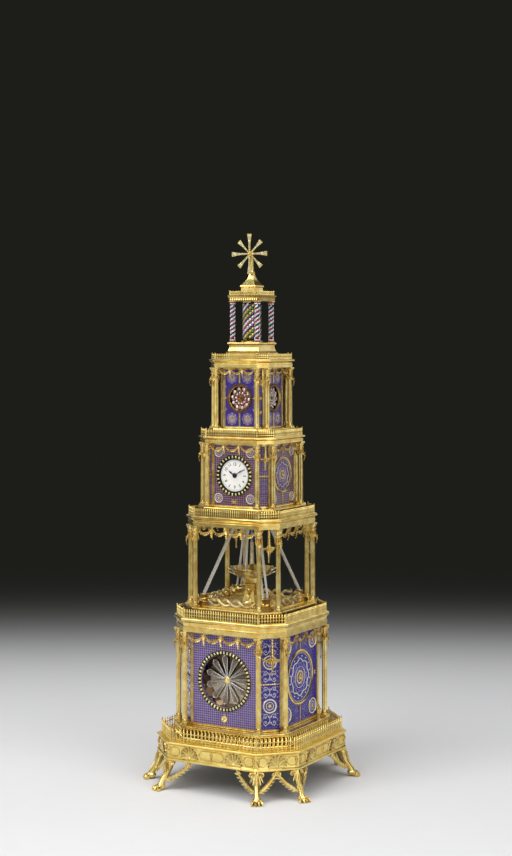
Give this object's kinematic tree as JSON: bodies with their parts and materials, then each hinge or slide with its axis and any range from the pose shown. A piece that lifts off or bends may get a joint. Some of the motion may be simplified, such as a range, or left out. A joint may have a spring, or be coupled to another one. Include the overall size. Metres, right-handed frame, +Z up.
{
  "type": "automaton tower clock",
  "caption": "Tiered gilt and enamel tower clock with open colonnades, a glass-rod fountain, whirling paste rosettes, a glass star and a turning finial.",
  "frame": {"origin": "on the floor under the tower's centre line, between the feet", "axes": "+Z up the tower, -Y out of the dial, +X to the right of the dial as seen from the front"},
  "size_m": [0.3664, 0.3664, 1.0855],
  "materials": {
    "gilt_metal": "mercury gilding, polished",
    "train_brass": "satin",
    "violet_enamel": "vitreous enamel, glossy",
    "silvered_mirror": "silvered",
    "dial_enamel": "vitreous enamel, glossy",
    "arbor_steel": "polished",
    "blued_steel": "blued",
    "clear_glass": "twisted, clear",
    "paste_stones": "faceted stones in metal settings"
  },
  "bodies": {
    "tower": {"plinth_case": "gilt_metal", "plinth_gallery": "gilt_metal", "legs_front_right": "gilt_metal", "legs_back_right": "gilt_metal", "legs_back_left": "gilt_metal", "legs_front_left": "gilt_metal", "lower_colonnade": "gilt_metal", "lower_case": "violet_enamel", "lower_bezel": "gilt_metal", "lower_entablature": "gilt_metal", "automaton_frame": "train_brass", "star_mirror": "silvered_mirror", "fountain_colonnade": "gilt_metal", "fountain_pedestal": "gilt_metal", "fountain_basin": "gilt_metal", "fountain_entablature": "gilt_metal", "clock_colonnade": "gilt_metal", "clock_case": "violet_enamel", "dial_bezel": "gilt_metal", "dial_plate": "dial_enamel", "clock_frame": "train_brass", "clock_entablature": "gilt_metal", "upper_colonnade": "gilt_metal", "upper_case": "violet_enamel", "upper_entablature": "gilt_metal", "lantern_colonnade": "gilt_metal", "lantern_roof": "gilt_metal"},
    "automaton_barrel": {"automaton_barrel": "train_brass"},
    "spindle": {"drive_spindle": "arbor_steel", "jewel_drum": "paste_stones"},
    "going_barrel": {"going_barrel": "train_brass"},
    "glass_star": {"glass_star": "clear_glass"},
    "corner_rod_1": {"corner_rod_1": "clear_glass"},
    "corner_rod_2": {"corner_rod_2": "clear_glass"},
    "corner_rod_3": {"corner_rod_3": "clear_glass"},
    "corner_rod_4": {"corner_rod_4": "clear_glass"},
    "corner_rod_5": {"corner_rod_5": "clear_glass"},
    "corner_rod_6": {"corner_rod_6": "clear_glass"},
    "corner_rod_7": {"corner_rod_7": "clear_glass"},
    "corner_rod_8": {"corner_rod_8": "clear_glass"},
    "basin_rod_1": {"basin_rod_1": "clear_glass"},
    "basin_rod_2": {"basin_rod_2": "clear_glass"},
    "basin_rod_3": {"basin_rod_3": "clear_glass"},
    "basin_rod_4": {"basin_rod_4": "clear_glass"},
    "basin_rod_5": {"basin_rod_5": "clear_glass"},
    "basin_rod_6": {"basin_rod_6": "clear_glass"},
    "minute_hand": {"minute_hand": "blued_steel"},
    "hour_hand": {"hour_hand": "blued_steel"},
    "minute_wheel": {"minute_wheel": "train_brass"},
    "rosette_fore_front": {"rosette_fore_front": "paste_stones"},
    "rosette_rear_front": {"rosette_rear_front": "paste_stones"},
    "rosette_fore_right": {"rosette_fore_right": "paste_stones"},
    "rosette_rear_right": {"rosette_rear_right": "paste_stones"},
    "rosette_fore_left": {"rosette_fore_left": "paste_stones"},
    "rosette_rear_left": {"rosette_rear_left": "paste_stones"},
    "finial_wheel_fore": {"finial_wheel_fore": "paste_stones"},
    "finial_wheel_rear": {"finial_wheel_rear": "paste_stones"},
    "lower_door": {"lower_door": "violet_enamel"},
    "clock_door": {"clock_door": "violet_enamel"}
  },
  "joints": [
    {"name": "automaton_barrel_spin", "type": "hinge", "parent": "tower", "child": "automaton_barrel", "pos_m": [0, -0.042, 0.15], "axis": [0, 0, 1], "continuous": true},
    {"name": "spindle_spin", "type": "hinge", "parent": "tower", "child": "spindle", "pos_m": [0, 0, 0.5], "axis": [0, 0, 1], "continuous": true},
    {"name": "glass_star_spin", "type": "hinge", "parent": "tower", "child": "glass_star", "pos_m": [0, -0.09, 0.21075], "axis": [0, 1, 0], "continuous": true},
    {"name": "corner_rod_1_spin", "type": "hinge", "parent": "tower", "child": "corner_rod_1", "pos_m": [0.06682, -0.07318, 0.3703], "axis": [-0.3028, 0.3028, 0.9037], "continuous": true},
    {"name": "corner_rod_2_spin", "type": "hinge", "parent": "tower", "child": "corner_rod_2", "pos_m": [0.07318, -0.06682, 0.3703], "axis": [-0.3028, 0.3028, 0.9037], "continuous": true},
    {"name": "corner_rod_3_spin", "type": "hinge", "parent": "tower", "child": "corner_rod_3", "pos_m": [0.07318, 0.06682, 0.3703], "axis": [-0.3028, -0.3028, 0.9037], "continuous": true},
    {"name": "corner_rod_4_spin", "type": "hinge", "parent": "tower", "child": "corner_rod_4", "pos_m": [0.06682, 0.07318, 0.3703], "axis": [-0.3028, -0.3028, 0.9037], "continuous": true},
    {"name": "corner_rod_5_spin", "type": "hinge", "parent": "tower", "child": "corner_rod_5", "pos_m": [-0.06682, 0.07318, 0.3703], "axis": [0.3028, -0.3028, 0.9037], "continuous": true},
    {"name": "corner_rod_6_spin", "type": "hinge", "parent": "tower", "child": "corner_rod_6", "pos_m": [-0.07318, 0.06682, 0.3703], "axis": [0.3028, -0.3028, 0.9037], "continuous": true},
    {"name": "corner_rod_7_spin", "type": "hinge", "parent": "tower", "child": "corner_rod_7", "pos_m": [-0.07318, -0.06682, 0.3703], "axis": [0.3028, 0.3028, 0.9037], "continuous": true},
    {"name": "corner_rod_8_spin", "type": "hinge", "parent": "tower", "child": "corner_rod_8", "pos_m": [-0.06682, -0.07318, 0.3703], "axis": [0.3028, 0.3028, 0.9037], "continuous": true},
    {"name": "basin_rod_1_spin", "type": "hinge", "parent": "tower", "child": "basin_rod_1", "pos_m": [0.02252, 0.013, 0.4046], "axis": [-0.092, -0.0531, 0.9943], "continuous": true},
    {"name": "basin_rod_2_spin", "type": "hinge", "parent": "tower", "child": "basin_rod_2", "pos_m": [0, 0.026, 0.4046], "axis": [0, -0.1062, 0.9943], "continuous": true},
    {"name": "basin_rod_3_spin", "type": "hinge", "parent": "tower", "child": "basin_rod_3", "pos_m": [-0.02252, 0.013, 0.4046], "axis": [0.092, -0.0531, 0.9943], "continuous": true},
    {"name": "basin_rod_4_spin", "type": "hinge", "parent": "tower", "child": "basin_rod_4", "pos_m": [-0.02252, -0.013, 0.4046], "axis": [0.092, 0.0531, 0.9943], "continuous": true},
    {"name": "basin_rod_5_spin", "type": "hinge", "parent": "tower", "child": "basin_rod_5", "pos_m": [0, -0.026, 0.4046], "axis": [0, 0.1062, 0.9943], "continuous": true},
    {"name": "basin_rod_6_spin", "type": "hinge", "parent": "tower", "child": "basin_rod_6", "pos_m": [0.02252, -0.013, 0.4046], "axis": [-0.092, 0.0531, 0.9943], "continuous": true},
    {"name": "going_barrel_spin", "type": "hinge", "parent": "tower", "child": "going_barrel", "pos_m": [0, -0.035, 0.58185], "axis": [0, 1, 0], "continuous": true},
    {"name": "minute_hand_spin", "type": "hinge", "parent": "tower", "child": "minute_hand", "pos_m": [0, -0.06, 0.60735], "axis": [0, 1, 0], "continuous": true},
    {"name": "hour_hand_spin", "type": "hinge", "parent": "tower", "child": "hour_hand", "pos_m": [0, -0.06, 0.60735], "axis": [0, 1, 0], "continuous": true},
    {"name": "minute_wheel_spin", "type": "hinge", "parent": "tower", "child": "minute_wheel", "pos_m": [0.0156, -0.062, 0.60735], "axis": [0, 1, 0], "continuous": true},
    {"name": "rosette_fore_front_spin", "type": "hinge", "parent": "tower", "child": "rosette_fore_front", "pos_m": [0, -0.044, 0.75865], "axis": [0, -1, 0], "continuous": true},
    {"name": "rosette_rear_front_spin", "type": "hinge", "parent": "tower", "child": "rosette_rear_front", "pos_m": [0, -0.044, 0.75865], "axis": [0, -1, 0], "continuous": true},
    {"name": "rosette_fore_right_spin", "type": "hinge", "parent": "tower", "child": "rosette_fore_right", "pos_m": [0.044, 0, 0.75865], "axis": [1, 0, 0], "continuous": true},
    {"name": "rosette_rear_right_spin", "type": "hinge", "parent": "tower", "child": "rosette_rear_right", "pos_m": [0.044, 0, 0.75865], "axis": [1, 0, 0], "continuous": true},
    {"name": "rosette_fore_left_spin", "type": "hinge", "parent": "tower", "child": "rosette_fore_left", "pos_m": [-0.044, 0, 0.75865], "axis": [-1, 0, 0], "continuous": true},
    {"name": "rosette_rear_left_spin", "type": "hinge", "parent": "tower", "child": "rosette_rear_left", "pos_m": [-0.044, 0, 0.75865], "axis": [-1, 0, 0], "continuous": true},
    {"name": "finial_wheel_fore_spin", "type": "hinge", "parent": "tower", "child": "finial_wheel_fore", "pos_m": [0, -0.008, 1.0455], "axis": [0, -1, 0], "continuous": true},
    {"name": "finial_wheel_rear_spin", "type": "hinge", "parent": "tower", "child": "finial_wheel_rear", "pos_m": [0, -0.008, 1.0455], "axis": [0, -1, 0], "continuous": true},
    {"name": "lower_door_hinge", "type": "hinge", "parent": "tower", "child": "lower_door", "pos_m": [-0.0661, 0.1095, 0.2], "axis": [0, 0, 1], "range_deg": [0, 100]},
    {"name": "clock_door_hinge", "type": "hinge", "parent": "tower", "child": "clock_door", "pos_m": [-0.0415, 0.0705, 0.6], "axis": [0, 0, 1], "range_deg": [0, 100]}
  ],
  "couplings": [
    {"joint": "spindle_spin", "follows": "automaton_barrel_spin", "ratio": -4},
    {"joint": "glass_star_spin", "follows": "automaton_barrel_spin", "ratio": 12},
    {"joint": "corner_rod_1_spin", "follows": "automaton_barrel_spin", "ratio": -4},
    {"joint": "corner_rod_2_spin", "follows": "automaton_barrel_spin", "ratio": 4},
    {"joint": "corner_rod_3_spin", "follows": "automaton_barrel_spin", "ratio": -4},
    {"joint": "corner_rod_4_spin", "follows": "automaton_barrel_spin", "ratio": 4},
    {"joint": "corner_rod_5_spin", "follows": "automaton_barrel_spin", "ratio": -4},
    {"joint": "corner_rod_6_spin", "follows": "automaton_barrel_spin", "ratio": 4},
    {"joint": "corner_rod_7_spin", "follows": "automaton_barrel_spin", "ratio": -4},
    {"joint": "corner_rod_8_spin", "follows": "automaton_barrel_spin", "ratio": 4},
    {"joint": "basin_rod_1_spin", "follows": "automaton_barrel_spin", "ratio": -4},
    {"joint": "basin_rod_2_spin", "follows": "automaton_barrel_spin", "ratio": 4},
    {"joint": "basin_rod_3_spin", "follows": "automaton_barrel_spin", "ratio": -4},
    {"joint": "basin_rod_4_spin", "follows": "automaton_barrel_spin", "ratio": 4},
    {"joint": "basin_rod_5_spin", "follows": "automaton_barrel_spin", "ratio": -4},
    {"joint": "basin_rod_6_spin", "follows": "automaton_barrel_spin", "ratio": 4},
    {"joint": "minute_hand_spin", "follows": "going_barrel_spin", "ratio": -4},
    {"joint": "hour_hand_spin", "follows": "going_barrel_spin", "ratio": -0.33333},
    {"joint": "minute_wheel_spin", "follows": "going_barrel_spin", "ratio": 1.3333},
    {"joint": "rosette_fore_front_spin", "follows": "automaton_barrel_spin", "ratio": 4},
    {"joint": "rosette_rear_front_spin", "follows": "automaton_barrel_spin", "ratio": -4},
    {"joint": "rosette_fore_right_spin", "follows": "automaton_barrel_spin", "ratio": 4},
    {"joint": "rosette_rear_right_spin", "follows": "automaton_barrel_spin", "ratio": -4},
    {"joint": "rosette_fore_left_spin", "follows": "automaton_barrel_spin", "ratio": 4},
    {"joint": "rosette_rear_left_spin", "follows": "automaton_barrel_spin", "ratio": -4},
    {"joint": "finial_wheel_fore_spin", "follows": "automaton_barrel_spin", "ratio": 2},
    {"joint": "finial_wheel_rear_spin", "follows": "automaton_barrel_spin", "ratio": -2}
  ]
}
